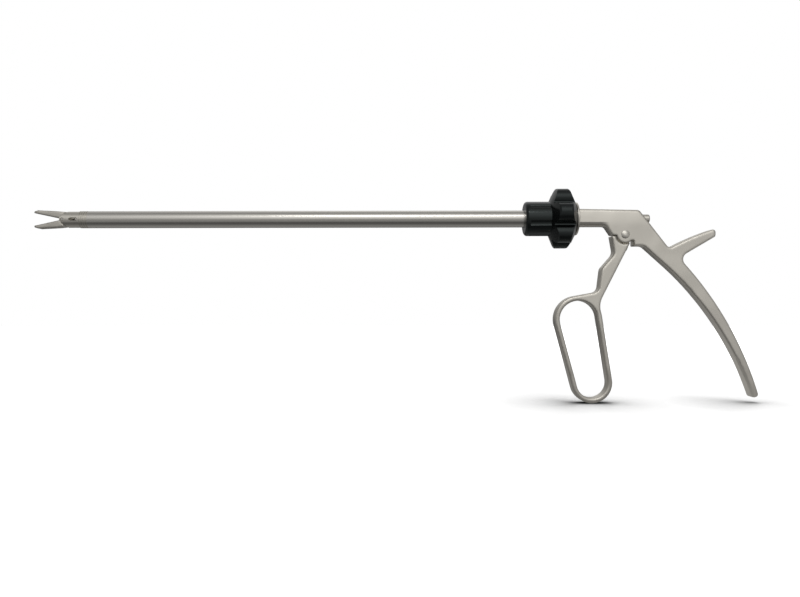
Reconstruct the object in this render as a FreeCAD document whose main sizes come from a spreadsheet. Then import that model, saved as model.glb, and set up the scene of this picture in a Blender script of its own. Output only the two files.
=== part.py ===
import FreeCAD, Part
import math
import operator
import os

import Sketcher

# A laparoscopic clip applier, in millimetres.
# The shaft lies on the X axis with its jaws at -X and its handle at +X, and +Z is up.
# The origin is on the shaft's axis, in the plane of the rotation knob's front face.

os.makedirs("parts", exist_ok=True)
doc = FreeCAD.newDocument("clip_applier")
sheet = doc.addObject("Spreadsheet::Sheet", "sizes")

OPERATIONS = {"+": operator.add, "-": operator.sub, "*": operator.mul, "/": operator.truediv}


class Size:
    """A number with the sheet formula that it comes from, so that sums carry both."""

    def __init__(self, value, formula):
        self.value = value
        self.formula = formula

    def __add__(self, other):
        return joined(self, "+", other)

    def __radd__(self, other):
        return joined(other, "+", self)

    def __sub__(self, other):
        return joined(self, "-", other)

    def __rsub__(self, other):
        return joined(other, "-", self)

    def __mul__(self, other):
        return joined(self, "*", other)

    def __rmul__(self, other):
        return joined(other, "*", self)

    def __truediv__(self, other):
        return joined(self, "/", other)

    def __rtruediv__(self, other):
        return joined(other, "/", self)

    def __neg__(self):
        return joined(-1, "*", self)


def value_of(item):
    return item.value if isinstance(item, Size) else float(item)


def formula_of(item):
    return item.formula if isinstance(item, Size) else f"({item})"


def joined(left, sign, right):
    value = OPERATIONS[sign](value_of(left), value_of(right))
    return Size(value, f"({formula_of(left)} {sign} {formula_of(right)})")


def of_angle(name, function, angle):
    return Size(function(math.radians(value_of(angle))), f"{name}({formula_of(angle)})")


def sine(angle):
    return of_angle("sin", math.sin, angle)


def cosine(angle):
    return of_angle("cos", math.cos, angle)


def tangent(angle):
    return of_angle("tan", math.tan, angle)


rows_used = []


def size(alias, value, meaning):
    """Writes one driving dimension to the sheet and returns it."""
    row = len(rows_used) + 1
    rows_used.append(alias)
    sheet.set(f"A{row}", meaning)
    sheet.set(f"B{row}", str(value))
    sheet.setAlias(f"B{row}", alias)
    return Size(float(value), f"sizes.{alias}")


# Shaft
tube_radius = size("tube_radius", 5.0, "outer tube, outside")
tube_wall = size("tube_wall", 0.6, "outer tube, wall")
tube_length = size("tube_length", 256.0, "tube in front of the knob")
tube_step = size("tube_step", 0.3, "turned down seat at the tube's rear end")
tube_seat = size("tube_seat", 8.0, "depth of the tube in its socket")
lip = size("lip", 0.8, "front lip of the knob over the socket")
slide_fit = size("slide_fit", 0.05, "radial clearance of a running fit")
rod_fit = size("rod_fit", 0.08, "radial clearance round the drive rod")
gap = size("gap", 0.3, "air between pieces that pass each other")

# Drive rod and its pin
rod_radius = size("rod_radius", 1.5, "drive rod")
rod_flat = size("rod_flat", 0.75, "half thickness of the rod's flat front end")
flat_length = size("flat_length", 8.3, "length of the flat")
rod_end = size("rod_end", 1.5, "flat in front of the drive pin's centre")
rod_tail_radius = size("rod_tail_radius", 0.8, "turned down tail inside the spool")
rod_tail = size("rod_tail", 10.5, "length of the tail")
drive_pin_radius = size("drive_pin_radius", 0.8, "drive pin")
drive_pin_reach = size("drive_pin_reach", 4.4, "half length of the drive pin")
drive_pin_back = size("drive_pin_back", 8.1, "drive pin behind the hinge, jaws open")
stroke = size("stroke", 3.35, "travel of the rod")
guide_length = size("guide_length", 8.0, "rod guide")
guide_front = size("guide_front", 176.0, "front guide's centre, from the knob")
guide_rear = size("guide_rear", 88.0, "rear guide's centre, from the knob")

# Jaws and their carrier
hinge_back = size("hinge_back", 14.5, "jaw hinge in front of the tube's end")
hinge_radius = size("hinge_radius", 0.9, "jaw pivot pin")
hinge_reach = size("hinge_reach", 4.6, "half length of the jaw pivot pin")
jaw_open = size("jaw_open", 12.0, "angle of each jaw from closed, in degrees")
jaw_length = size("jaw_length", 17.6, "hinge to tip")
jaw_root = size("jaw_root", 4.7, "height of the closed jaw at its root")
jaw_shoulder = size("jaw_shoulder", 2.0, "length of the slanted tip")
jaw_tip = size("jaw_tip", 2.15, "height of the closed jaw behind its tip")
jaw_nose = size("jaw_nose", 1.05, "height of the tip itself")
jaw_nose_round = size("jaw_nose_round", 0.55, "rounding of the tip")
jaw_width = size("jaw_width", 6.0, "blade width at the root")
jaw_tip_width = size("jaw_tip_width", 4.8, "blade width at the tip")
jaw_meet = size("jaw_meet", 0.05, "half the gap between closed jaws")
jaw_envelope = size("jaw_envelope", 4.75, "outer radius of the closed jaws")
clip_width = size("clip_width", 1.3, "clip channel, width")
clip_depth = size("clip_depth", 0.7, "clip channel, depth")
clip_start = size("clip_start", 3.7, "clip channel, start in front of the hinge")
clip_end = size("clip_end", 2.9, "clip channel, end behind the tip")
boss_radius = size("boss_radius", 1.75, "jaw boss round its hinge")
tang_radius = size("tang_radius", 1.9, "tang round the cam slot")
tang_thickness = size("tang_thickness", 1.3, "tang")
web_height = size("web_height", 2.9, "web between boss and blade")
web_length = size("web_length", 3.0, "web in front of the hinge")
carrier_plug = size("carrier_plug", 12.0, "carrier's plug in the tube")
carrier_radius = size("carrier_radius", 4.75, "carrier's body")
collar_length = size("collar_length", 5.2, "collar in front of the tube")
ring_groove = size("ring_groove", 0.25, "depth of the fine rings")
ring_width = size("ring_width", 0.4, "width of the fine rings")
ring_pitch = size("ring_pitch", 1.25, "distance between the fine rings")
cheek_gap = size("cheek_gap", 2.25, "half width between the carrier's cheeks")
cavity_height = size("cavity_height", 3.85, "half height of the cavity")
cavity_depth = size("cavity_depth", 10.5, "cavity behind the hinge")
nose_radius = size("nose_radius", 1.7, "rounded nose of a cheek")
nose_angle = size("nose_angle", 45.0, "slope of a cheek's front, in degrees")

# Front spigot, on which the knob turns
knob_length = size("knob_length", 29.4, "knob")
flange_gap = size("flange_gap", 0.3, "air between knob and flange")
flange_thickness = size("flange_thickness", 1.3, "flange")
flange_radius = size("flange_radius", 9.7, "flange")
flange_round = size("flange_round", 0.5, "rim of the flange")
journal_radius = size("journal_radius", 4.5, "journal")
journal_start = size("journal_start", 14.0, "front end of the journal")
plug_radius = size("plug_radius", 2.9, "spigot's plug in the neck")
plug_length = size("plug_length", 8.0, "plug")
clip_ring_start = size("clip_ring_start", 15.3, "front face of the retaining ring")
clip_ring_thickness = size("clip_ring_thickness", 1.0, "retaining ring")
clip_ring_radius = size("clip_ring_radius", 5.7, "retaining ring, outside")
clip_ring_mouth = size("clip_ring_mouth", 5.0, "retaining ring, opening")
clip_groove_radius = size("clip_groove_radius", 3.9, "bottom of the ring's groove")
washer_thickness = size("washer_thickness", 0.7, "thrust washer")
washer_radius = size("washer_radius", 6.9, "thrust washer, outside")
face_fit = size("face_fit", 0.1, "end play of the hub")

# Knob, hub and tube socket
sleeve_length = size("sleeve_length", 14.7, "knob's front sleeve")
sleeve_radius = size("sleeve_radius", 10.1, "knob's sleeve")
sleeve_round = size("sleeve_round", 1.8, "front edge of the sleeve")
lobe_count = size("lobe_count", 6, "lobes of the star")
lobe_centre = size("lobe_centre", 12.1, "lobe's centre from the axis")
lobe_radius = size("lobe_radius", 5.7, "lobe")
lobe_turn = size("lobe_turn", 18.0, "first lobe from the top, in degrees")
valley_round = size("valley_round", 1.2, "valley between two lobes")
star_front_slope = size("star_front_slope", 3.5, "length of the front cone")
star_rear_slope = size("star_rear_slope", 4.0, "length of the rear cone")
star_rear_radius = size("star_rear_radius", 10.1, "rear face of the star")
star_round = size("star_round", 1.0, "length of the rounding between cone and lobe")
flute_radius = size("flute_radius", 2.6, "flute in the sleeve")
flute_depth = size("flute_depth", 0.8, "depth of a flute")
flute_turn = size("flute_turn", 48.0, "first flute from the top, in degrees")
flute_front = size("flute_front", 2.6, "flute's start behind the front face")
hub_radius = size("hub_radius", 7.2, "knob hub")
hub_start = size("hub_start", 9.0, "front end of the hub")
hub_bearing = size("hub_bearing", 16.5, "start of the hub's bearing bore")
socket_radius = size("socket_radius", 6.05, "tube socket")
socket_end = size("socket_end", 13.4, "rear end of the socket")
socket_floor = size("socket_floor", 1.0, "floor behind the tube")
seal_pocket = size("seal_pocket", 3.2, "radius of the seal's pocket")
seal_wire = size("seal_wire", 0.8, "half thickness of the rod seal")
seal_washer_thickness = size("seal_washer_thickness", 0.8, "washer behind the seal")
screw_radius = size("screw_radius", 1.25, "set screw")
screw_place = size("screw_place", 11.6, "set screw behind the front face")
screw_top = size("screw_top", 9.4, "outer end of the set screw")
screw_point = size("screw_point", 5.6, "inner end of the set screw")
screw_hex = size("screw_hex", 0.65, "key socket of the set screw")

# Frame with its rear handle
plate = size("plate", 8.0, "thickness of frame and trigger")
frame_rim = size("frame_rim", 1.2, "rounded edges of the frame")
neck_top_front = size("neck_top_front", 5.6, "top of the neck behind the flange")
neck_top_rear = size("neck_top_rear", 4.9, "top of the neck at its rear")
neck_bottom = size("neck_bottom", 4.7, "underside of the neck, below the axis")
neck_end = size("neck_end", 66.2, "rear end of the neck's top")
neck_corner = size("neck_corner", 67.5, "start of the rear slope")
neck_corner_height = size("neck_corner_height", 4.3, "height of that corner")
saddle_x = size("saddle_x", 84.5, "bottom of the rear slope")
saddle_drop = size("saddle_drop", 17.6, "bottom of the rear slope, below the axis")
saddle_round = size("saddle_round", 2.5, "rounding in the saddle")
spur_x = size("spur_x", 111.8, "tip of the spur")
spur_top_drop = size("spur_top_drop", 6.05, "top of the spur's tip, below the axis")
spur_low_drop = size("spur_low_drop", 10.7, "underside of the spur's tip")
spur_arc = size("spur_arc", 150.0, "radius of the spur's top")
spur_round = size("spur_round", 1.6, "rounding of the spur's tip")
throat_x = size("throat_x", 90.5, "corner under the spur")
throat_drop = size("throat_drop", 23.15, "corner under the spur, below the axis")
throat_round = size("throat_round", 4.0, "rounding under the spur")
handle_back_arc = size("handle_back_arc", 200.0, "back of the rear handle")
handle_front_arc = size("handle_front_arc", 183.0, "front of the rear handle")
handle_end_back_x = size("handle_end_back_x", 136.95, "handle's end, back corner")
handle_end_back_drop = size("handle_end_back_drop", 104.4, "that corner, below the axis")
handle_end_front_x = size("handle_end_front_x", 133.0, "handle's end, front corner")
handle_end_front_drop = size("handle_end_front_drop", 105.5, "that corner, below the axis")
handle_end_round = size("handle_end_round", 1.7, "rounding of the handle's end")
handle_top_x = size("handle_top_x", 84.0, "start of the handle's front curve")
handle_top_drop = size("handle_top_drop", 29.3, "that point, below the axis")
belly_x = size("belly_x", 69.5, "corner behind the trigger")
belly_drop = size("belly_drop", 16.3, "that corner, below the axis")
belly_round = size("belly_round", 4.0, "rounding of that corner")
chin_x = size("chin_x", 50.9, "front edge of the frame at the trigger")
chin_drop = size("chin_drop", 9.9, "lower end of that edge")
chin_top_x = size("chin_top_x", 47.4, "where that edge meets the neck")
chin_round = size("chin_round", 2.2, "rounding where it meets the neck")
slot_front = size("slot_front", 53.0, "front wall of the trigger slot")
slot_rear = size("slot_rear", 64.0, "rear wall of the trigger slot")
slot_top = size("slot_top", 2.7, "top of the trigger slot, above the axis")
slot_width = size("slot_width", 5.2, "trigger slot")
notch_drop = size("notch_drop", 12.9, "top of the notch behind the lobe")
lobe_round = size("lobe_round", 0.6, "edge of the pivot lobe")
spool_bore = size("spool_bore", 2.6, "radius of the bore for spring and spool")

# Trigger
pivot_x = size("pivot_x", 58.7, "trigger pivot, behind the knob's front face")
pivot_drop = size("pivot_drop", 9.5, "trigger pivot, below the axis")
pivot_radius = size("pivot_radius", 1.6, "pivot pin's shank")
pivot_head = size("pivot_head", 2.5, "pivot pin's head")
pivot_dome = size("pivot_dome", 0.8, "height of the domed head")
pivot_lobe = size("pivot_lobe", 5.0, "frame lobe round the pivot")
shoulder_radius = size("shoulder_radius", 5.8, "trigger's shoulder round the lobe")
shoulder_angle = size("shoulder_angle", 60.0, "rear end of the shoulder, below level, in degrees")
shoulder_drop = size("shoulder_drop", 10.6, "top of the trigger's front corner")
trigger_front_x = size("trigger_front_x", 50.7, "trigger's front corner")
dip_x = size("dip_x", 52.5, "bottom of the hollow in the trigger's front")
dip_drop = size("dip_drop", 20.8, "hollow, below the axis")
dip_round = size("dip_round", 5.0, "rounding of the hollow")
swell_x = size("swell_x", 44.8, "swell under the hollow")
swell_drop = size("swell_drop", 29.6, "swell, below the axis")
swell_round = size("swell_round", 4.0, "rounding of the swell")
ring_corner_x = size("ring_corner_x", 43.1, "corner between lever and loop")
ring_corner_round = size("ring_corner_round", 4.0, "rounding of that corner")
ring_back_round = size("ring_back_round", 12.0, "rounding behind the loop")
lever_back = size("lever_back", 31.0, "end of the lever's rear edge on the loop, above level")
loop_top_x = size("loop_top_x", 31.4, "upper circle of the finger loop")
loop_top_drop = size("loop_top_drop", 59.3, "upper circle, below the axis")
loop_top_radius = size("loop_top_radius", 11.0, "upper circle, inside")
loop_low_x = size("loop_low_x", 39.2, "lower circle of the finger loop")
loop_low_drop = size("loop_low_drop", 96.4, "lower circle, below the axis")
loop_low_radius = size("loop_low_radius", 9.0, "lower circle, inside")
loop_bar = size("loop_bar", 2.9, "bar of the finger loop")
loop_tilt = size("loop_tilt", 10.2, "slope of the loop's top edge, in degrees")
trigger_rim = size("trigger_rim", 1.0, "rounded edges of the trigger")
tongue = size("tongue", 5.0, "tongue and fork of the trigger")
tongue_hub = size("tongue_hub", 4.2, "tongue round the pivot")
tongue_root_x = size("tongue_root_x", 57.4, "root of the tongue in the lever")
tongue_root_drop = size("tongue_root_drop", 17.0, "root, below the axis")
tongue_root = size("tongue_root", 3.0, "root of the tongue, radius")
lean = size("lean", 10.0, "fork from upright at rest, in degrees")
fork_tip = size("fork_tip", 2.0, "round end of a prong")
fork_arm = size("fork_arm", 1.45, "half width of a prong")
fork_floor = size("fork_floor", 6.3, "bottom of the fork above the pivot")

# Spool and spring
spool_groove = size("spool_groove", 4.2, "spool's groove")
spool_core = size("spool_core", 1.4, "spool's core")
spool_radius = size("spool_radius", 2.55, "spool's collars")
spool_collar = size("spool_collar", 2.0, "front collar")
spool_end = size("spool_end", 73.8, "rear end of the spool")
spool_round = size("spool_round", 0.8, "rounding of that end")
spring_wire = size("spring_wire", 0.25, "half thickness of the spring's wire")
spring_radius = size("spring_radius", 2.15, "spring, to the middle of the wire")
spring_pitch = size("spring_pitch", 2.2, "spring's pitch")

# Places worked out from those sizes
tube_front = -tube_length
hinge_x = tube_front - hinge_back
drive_pin_x = hinge_x + drive_pin_back
tube_bore = tube_radius - tube_wall
seat_radius = tube_radius - tube_step
flange_front = knob_length + flange_gap
flange_rear = flange_front + flange_thickness
plug_end = flange_rear + plug_length
washer_front = flange_front - washer_thickness
hub_end = washer_front - face_fit
pivot_z = -pivot_drop
fork_reach = pivot_drop / cosine(lean)
fork_x = pivot_x + fork_reach * sine(lean)
groove_front = fork_x - spool_groove / 2
spool_front = groove_front - spool_collar
half_plate = plate / 2
collar_front = tube_front - collar_length
clear_nose = nose_radius + gap


# Building blocks
def diagonal(width, height):
    squares = width * width + height * height
    return Size(math.sqrt(squares.value), f"sqrt({squares.formula})")


def root(hypotenuse, side):
    """The other short side of a right-angled triangle."""
    squares = hypotenuse * hypotenuse - side * side
    return Size(math.sqrt(squares.value), f"sqrt({squares.formula})")


def bind(item, name, amount):
    """Sets a property to the amount's sheet formula."""
    item.setExpression(name, formula_of(amount))


def new_body(name):
    body = doc.addObject("PartDesign::Body", name)
    body.Label = name
    return body


def origin_item(body, role):
    return [item for item in body.Origin.OriginFeatures if item.Role == role][0]


def new_sketch(body, plane, offset=None):
    """A sketch on one of the body's origin planes, moved along its normal by the offset."""
    sketch = body.newObject("Sketcher::SketchObject", f"{body.Name}_sketch")
    sketch.AttachmentSupport = (origin_item(body, plane), [""])
    sketch.MapMode = "FlatFace"
    if offset is not None:
        sketch.AttachmentOffset = FreeCAD.Placement(
            FreeCAD.Vector(0, 0, value_of(offset)), FreeCAD.Rotation()
        )
        bind(sketch, "AttachmentOffset.Base.z", offset)
    return sketch


def hold(sketch, amount, kind, *where):
    """Adds a dimension to the sketch, driven by the sheet."""
    index = sketch.addConstraint(Sketcher.Constraint(kind, *where, value_of(amount)))
    bind(sketch, f"Constraints[{index}]", amount)


def hold_point(sketch, geometry, point, x, y):
    hold(sketch, x, "DistanceX", -1, 1, geometry, point)
    hold(sketch, y, "DistanceY", -1, 1, geometry, point)


def arc_between(start, end, radius, side):
    """The shorter arc from start to end: side 1 turns left round its centre, -1 right."""
    chord = end - start
    half = chord.Length / 2
    rise = math.sqrt(max(radius * radius - half * half, 0.0))
    left = FreeCAD.Vector(-chord.y, chord.x, 0) / chord.Length
    centre = (start + end) / 2 + left * (rise * side)
    first, last = (start, end) if side > 0 else (end, start)
    begin = math.atan2(first.y - centre.y, first.x - centre.x)
    finish = math.atan2(last.y - centre.y, last.x - centre.x)
    circle = Part.Circle(centre, FreeCAD.Vector(0, 0, 1), radius)
    return Part.ArcOfCircle(circle, begin, finish)


def outline(sketch, corners, arcs=None):
    """A closed outline through the corners. arcs maps an edge's number to (radius, side)."""
    arcs = arcs or {}
    points = [FreeCAD.Vector(value_of(x), value_of(y), 0) for x, y in corners]
    edges = []
    for number, start in enumerate(points):
        end = points[(number + 1) % len(points)]
        if number in arcs:
            radius, side = arcs[number]
            geometry = sketch.addGeometry(arc_between(start, end, value_of(radius), side))
            edges.append((geometry, 1, 2) if side > 0 else (geometry, 2, 1))
        else:
            geometry = sketch.addGeometry(Part.LineSegment(start, end))
            edges.append((geometry, 1, 2))
    for number, (geometry, _, last) in enumerate(edges):
        following, first, _ = edges[(number + 1) % len(edges)]
        sketch.addConstraint(
            Sketcher.Constraint("Coincident", geometry, last, following, first)
        )
    for (geometry, first, _), (x, y) in zip(edges, corners):
        hold_point(sketch, geometry, first, x, y)
    for number, (radius, _) in arcs.items():
        hold(sketch, radius, "Radius", edges[number][0])


def disc(sketch, x, y, radius):
    centre = FreeCAD.Vector(value_of(x), value_of(y), 0)
    circle = Part.Circle(centre, FreeCAD.Vector(0, 0, 1), value_of(radius))
    geometry = sketch.addGeometry(circle)
    hold_point(sketch, geometry, 3, x, y)
    hold(sketch, radius, "Radius", geometry)


def belt(sketch, first, second):
    """Two circles (x, y, radius) and the straight lines that touch both, as one outline."""
    centres = [FreeCAD.Vector(value_of(x), value_of(y), 0) for x, y, _ in (first, second)]
    radii = [value_of(first[2]), value_of(second[2])]
    along = centres[1] - centres[0]
    lean_in = math.acos((radii[0] - radii[1]) / along.Length)
    heading = math.atan2(along.y, along.x)
    left = heading + lean_in
    right = heading - lean_in
    up = FreeCAD.Vector(0, 0, 1)
    spans = [(left, right + 2 * math.pi), (right, left)]
    arcs = []
    for centre, radius, (begin, finish) in zip(centres, radii, spans):
        arc = Part.ArcOfCircle(Part.Circle(centre, up, radius), begin, finish)
        arcs.append(sketch.addGeometry(arc))
    touch = [
        [c + FreeCAD.Vector(math.cos(a), math.sin(a), 0) * r for c, r in zip(centres, radii)]
        for a in (right, left)
    ]
    right_line = sketch.addGeometry(Part.LineSegment(touch[0][0], touch[0][1]))
    left_line = sketch.addGeometry(Part.LineSegment(touch[1][1], touch[1][0]))
    joints = [
        (arcs[0], 2, right_line, 1),
        (right_line, 2, arcs[1], 1),
        (arcs[1], 2, left_line, 1),
        (left_line, 2, arcs[0], 1),
    ]
    for joint in joints:
        sketch.addConstraint(Sketcher.Constraint("Tangent", *joint))
    for arc, (x, y, radius) in zip(arcs, (first, second)):
        hold_point(sketch, arc, 3, x, y)
        hold(sketch, radius, "Radius", arc)


def feature(body, kind, sketch):
    item = body.newObject(f"PartDesign::{kind}", f"{body.Name}_{kind.lower()}")
    item.Profile = sketch
    sketch.Visibility = False
    body.Tip = item
    return item


def pad(body, sketch, length, centred=True, reverse=False):
    item = feature(body, "Pad", sketch)
    item.SideType = "Symmetric" if centred else "One side"
    item.Reversed = reverse
    bind(item, "Length", length)
    return item


def pocket(body, sketch, depth, centred=True, reverse=False):
    item = feature(body, "Pocket", sketch)
    item.SideType = "Symmetric" if centred else "One side"
    item.Reversed = reverse
    bind(item, "Length", depth)
    return item


def turn(body, sketch, kind="Revolution", axis="H_Axis"):
    item = feature(body, kind, sketch)
    item.ReferenceAxis = (sketch, [axis])
    item.Angle = 360
    return item


def turned(name, corners, arcs=None):
    """A body turned about the shaft's axis from a profile of (x, radius) corners."""
    body = new_body(name)
    sketch = new_sketch(body, "XZ_Plane")
    outline(sketch, corners, arcs)
    turn(body, sketch)
    return body


def bored(body, corners, arcs=None):
    """Cuts a profile of (x, radius) corners out of the body, turned about the shaft's axis."""
    sketch = new_sketch(body, "XZ_Plane")
    outline(sketch, corners, arcs)
    turn(body, sketch, "Groove")


def repeated(body, original, count):
    """Repeats a feature round the shaft's axis."""
    pattern = body.newObject("PartDesign::PolarPattern", f"{body.Name}_pattern")
    pattern.Originals = [original]
    pattern.Axis = (origin_item(body, "X_Axis"), [""])
    pattern.Angle = 360
    bind(pattern, "Occurrences", count)
    body.Tip = pattern
    return pattern


def rounded(body, radius, wanted):
    """Rounds every edge of the body for which wanted(edge) is true."""
    doc.recompute()
    base = body.Tip
    names = [f"Edge{n + 1}" for n, edge in enumerate(base.Shape.Edges) if wanted(edge)]
    if not names:
        raise ValueError(f"{body.Name}: no edge to round")
    item = body.newObject("PartDesign::Fillet", f"{body.Name}_fillet")
    item.Base = (base, names)
    bind(item, "Radius", radius)
    body.Tip = item
    return item


NEAR = 0.02


def across_at(*places):
    """A test for straight edges along Y at one of the (x, z) places."""

    def test(edge):
        low, high = edge.BoundBox.YMin, edge.BoundBox.YMax
        if high - low < NEAR or edge.BoundBox.XLength > NEAR or edge.BoundBox.ZLength > NEAR:
            return False
        middle = edge.BoundBox.Center
        return any(
            abs(middle.x - value_of(x)) < NEAR and abs(middle.z - value_of(z)) < NEAR
            for x, z in places
        )

    return test


def on_faces(half, keep=None):
    """A test for edges that lie in the planes y = half and y = -half."""

    def test(edge):
        box = edge.BoundBox
        flat = box.YLength < NEAR and abs(abs(box.Center.y) - value_of(half)) < NEAR
        return flat and (keep is None or keep(edge))

    return test


def circle_of(radius, x):
    """A test for round edges of this radius about the shaft's axis, at x."""

    def test(edge):
        box = edge.BoundBox
        wide = abs(box.ZLength - 2 * value_of(radius)) < NEAR
        return wide and box.XLength < NEAR and abs(box.Center.x - value_of(x)) < NEAR

    return test


# Shaft: tube, guides and jaw carrier
def make_outer_tube():
    return turned(
        "outer_tube",
        [
            (tube_front, tube_bore),
            (tube_seat, tube_bore),
            (tube_seat, seat_radius),
            (0, seat_radius),
            (0, tube_radius),
            (tube_front, tube_radius),
        ],
    )


def make_rod_guide(name, centre):
    front = centre - guide_length / 2
    rear = centre + guide_length / 2
    bore = rod_radius + rod_fit
    return turned(name, [(front, bore), (rear, bore), (rear, tube_bore), (front, tube_bore)])


def nose_point(side):
    """Where a cheek's round nose meets its sloped front, above (1) or below (-1) the hinge."""
    return (
        hinge_x - nose_radius * sine(nose_angle),
        side * nose_radius * cosine(nose_angle),
    )


def make_jaw_carrier():
    plug_end_x = tube_front + carrier_plug
    front = hinge_x - nose_radius - gap
    body = turned(
        "jaw_carrier",
        [
            (front, 0),
            (plug_end_x, 0),
            (plug_end_x, tube_bore),
            (tube_front, tube_bore),
            (tube_front, tube_radius),
            (collar_front, tube_radius),
            (collar_front, carrier_radius),
            (front, carrier_radius),
        ],
    )
    # Four fine rings in the collar
    middle = (tube_front + collar_front) / 2
    for step in (-1.5, -0.5, 0.5, 1.5):
        centre = middle + step * ring_pitch
        floor = tube_radius - ring_groove
        bored(
            body,
            [
                (centre - ring_width / 2, floor),
                (centre + ring_width / 2, floor),
                (centre + ring_width / 2, tube_radius + gap),
                (centre - ring_width / 2, tube_radius + gap),
            ],
        )
    # The front of both cheeks: a round nose between two slopes
    reach = tube_radius + gap
    top = nose_point(1)
    low = nose_point(-1)
    slope_x = top[0] + (reach - top[1]) / tangent(nose_angle)
    ahead = front - reach
    sketch = new_sketch(body, "XZ_Plane")
    outline(
        sketch,
        [(slope_x, reach), top, low, (slope_x, -reach), (ahead, -reach), (ahead, reach)],
        {1: (nose_radius, 1)},
    )
    pocket(body, sketch, 3 * tube_radius)
    # The cavity between the cheeks, for tangs and rod
    sketch = new_sketch(body, "XZ_Plane")
    back = hinge_x + cavity_depth
    outline(
        sketch,
        [(ahead, -cavity_height), (back, -cavity_height), (back, cavity_height), (ahead, cavity_height)],
    )
    pocket(body, sketch, 2 * cheek_gap)
    bore = rod_radius + rod_fit
    bored(body, [(back - gap, 0), (plug_end_x + gap, 0), (plug_end_x + gap, bore), (back - gap, bore)])
    # Hinge hole and the drive pin's oblong slots
    sketch = new_sketch(body, "XZ_Plane")
    disc(sketch, hinge_x, 0, hinge_radius)
    pocket(body, sketch, 3 * tube_radius)
    sketch = new_sketch(body, "XZ_Plane")
    slot = drive_pin_radius + slide_fit
    belt(sketch, (drive_pin_x - stroke, 0, slot), (drive_pin_x, 0, slot))
    pocket(body, sketch, 3 * tube_radius)
    return body


def make_cross_pin(name, x, z, radius, reach, dome):
    """A pin along Y with slightly domed ends, modelled about its own axis."""
    body = new_body(name)
    sketch = new_sketch(body, "XY_Plane")
    outline(
        sketch,
        [
            (0, -reach),
            (radius - dome, -reach),
            (radius, dome - reach),
            (radius, reach - dome),
            (radius - dome, reach),
            (0, reach),
        ],
    )
    turn(body, sketch, axis="V_Axis")
    body.Placement = FreeCAD.Placement(
        FreeCAD.Vector(value_of(x), 0, value_of(z)), FreeCAD.Rotation()
    )
    bind(body, "Placement.Base.x", x)
    bind(body, "Placement.Base.z", z)
    return body


# Jaws, each modelled closed about its own hinge and then opened
def cam_point(travel, side):
    """The drive pin's centre in the frame of a closed jaw, after this much of its travel."""
    distance = drive_pin_back - travel
    angle = jaw_open - jaw_open * travel / stroke
    return distance * cosine(angle), side * distance * sine(angle)


def make_jaw(name, side):
    """The upper jaw is side 1, and the lower jaw is its mirror image, turned about X."""
    body = new_body(name)
    edge = nose_angle + jaw_open
    foot = (-clear_nose * sine(edge), clear_nose * cosine(edge))
    root_x = foot[0] + (jaw_root - foot[1]) / tangent(edge)
    corners = [
        (-clear_nose, jaw_meet),
        foot,
        (root_x, jaw_root),
        (jaw_shoulder - jaw_length, jaw_tip),
        (-jaw_length, jaw_nose),
        (-jaw_length, jaw_meet),
    ]
    flipped = [(x, side * z) for x, z in corners]
    # Blade
    sketch = new_sketch(body, "XZ_Plane")
    outline(sketch, flipped)
    pad(body, sketch, jaw_width)
    rounded(body, jaw_nose_round, across_at(flipped[3], flipped[4], flipped[5]))
    # The blade narrows towards its tip
    sketch = new_sketch(body, "XY_Plane")
    wide = jaw_width / 2
    narrow = jaw_tip_width / 2
    past_tip = -jaw_length - gap
    outline(sketch, [(-clear_nose, wide), (past_tip, narrow), (past_tip, wide)])
    outline(sketch, [(-clear_nose, -wide), (past_tip, -narrow), (past_tip, -wide)])
    pocket(body, sketch, 4 * tube_radius)
    # The outside follows the shaft's round
    beyond = 2 * tube_radius
    bored(
        body,
        [
            (-jaw_length - gap, jaw_envelope),
            (beyond, jaw_envelope),
            (beyond, beyond),
            (-jaw_length - gap, beyond),
        ],
    )
    # Boss and web beside the hinge, then the tang with its cam
    offset = jaw_meet
    depth = cheek_gap - 2 * jaw_meet - offset
    sketch = new_sketch(body, "XZ_Plane", side * offset)
    disc(sketch, 0, 0, boss_radius)
    pad(body, sketch, depth, centred=False, reverse=side < 0)
    sketch = new_sketch(body, "XZ_Plane", side * offset)
    outline(
        sketch,
        [
            (-web_length, side * jaw_meet),
            (0, side * jaw_meet),
            (0, side * web_height),
            (-web_length, side * web_height),
        ],
    )
    pad(body, sketch, depth, centred=False, reverse=side < 0)
    closed = cam_point(stroke, side)
    opened = cam_point(0, side)
    middle = cam_point(stroke / 2, side)
    tang_offset = side * (offset + depth - tang_thickness)
    for first, second, radius in (((0, 0), middle, boss_radius), (middle, opened, tang_radius)):
        sketch = new_sketch(body, "XZ_Plane", tang_offset)
        belt(sketch, (*first, radius), (*second, tang_radius))
        pad(body, sketch, tang_thickness, centred=False, reverse=side < 0)
    # Hinge hole and the cam slot that the drive pin runs in
    sketch = new_sketch(body, "XZ_Plane")
    disc(sketch, 0, 0, hinge_radius + slide_fit)
    pocket(body, sketch, 2 * tube_radius)
    slot = drive_pin_radius + slide_fit
    for first, second in ((closed, middle), (middle, opened)):
        sketch = new_sketch(body, "XZ_Plane")
        belt(sketch, (*first, slot), (*second, slot))
        pocket(body, sketch, 2 * tube_radius)
    # Channel that holds the clip
    sketch = new_sketch(body, "XZ_Plane")
    front = clip_end - jaw_length
    outline(
        sketch,
        [
            (front, 0),
            (-clip_start, 0),
            (-clip_start, side * (jaw_meet + clip_depth)),
            (front, side * (jaw_meet + clip_depth)),
        ],
    )
    pocket(body, sketch, clip_width)
    body.Placement = FreeCAD.Placement(
        FreeCAD.Vector(value_of(hinge_x), 0, 0),
        FreeCAD.Rotation(FreeCAD.Vector(0, 1, 0), side * value_of(jaw_open)),
    )
    bind(body, "Placement.Base.x", hinge_x)
    bind(body, "Placement.Rotation.Angle", side * jaw_open)
    return body


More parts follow.
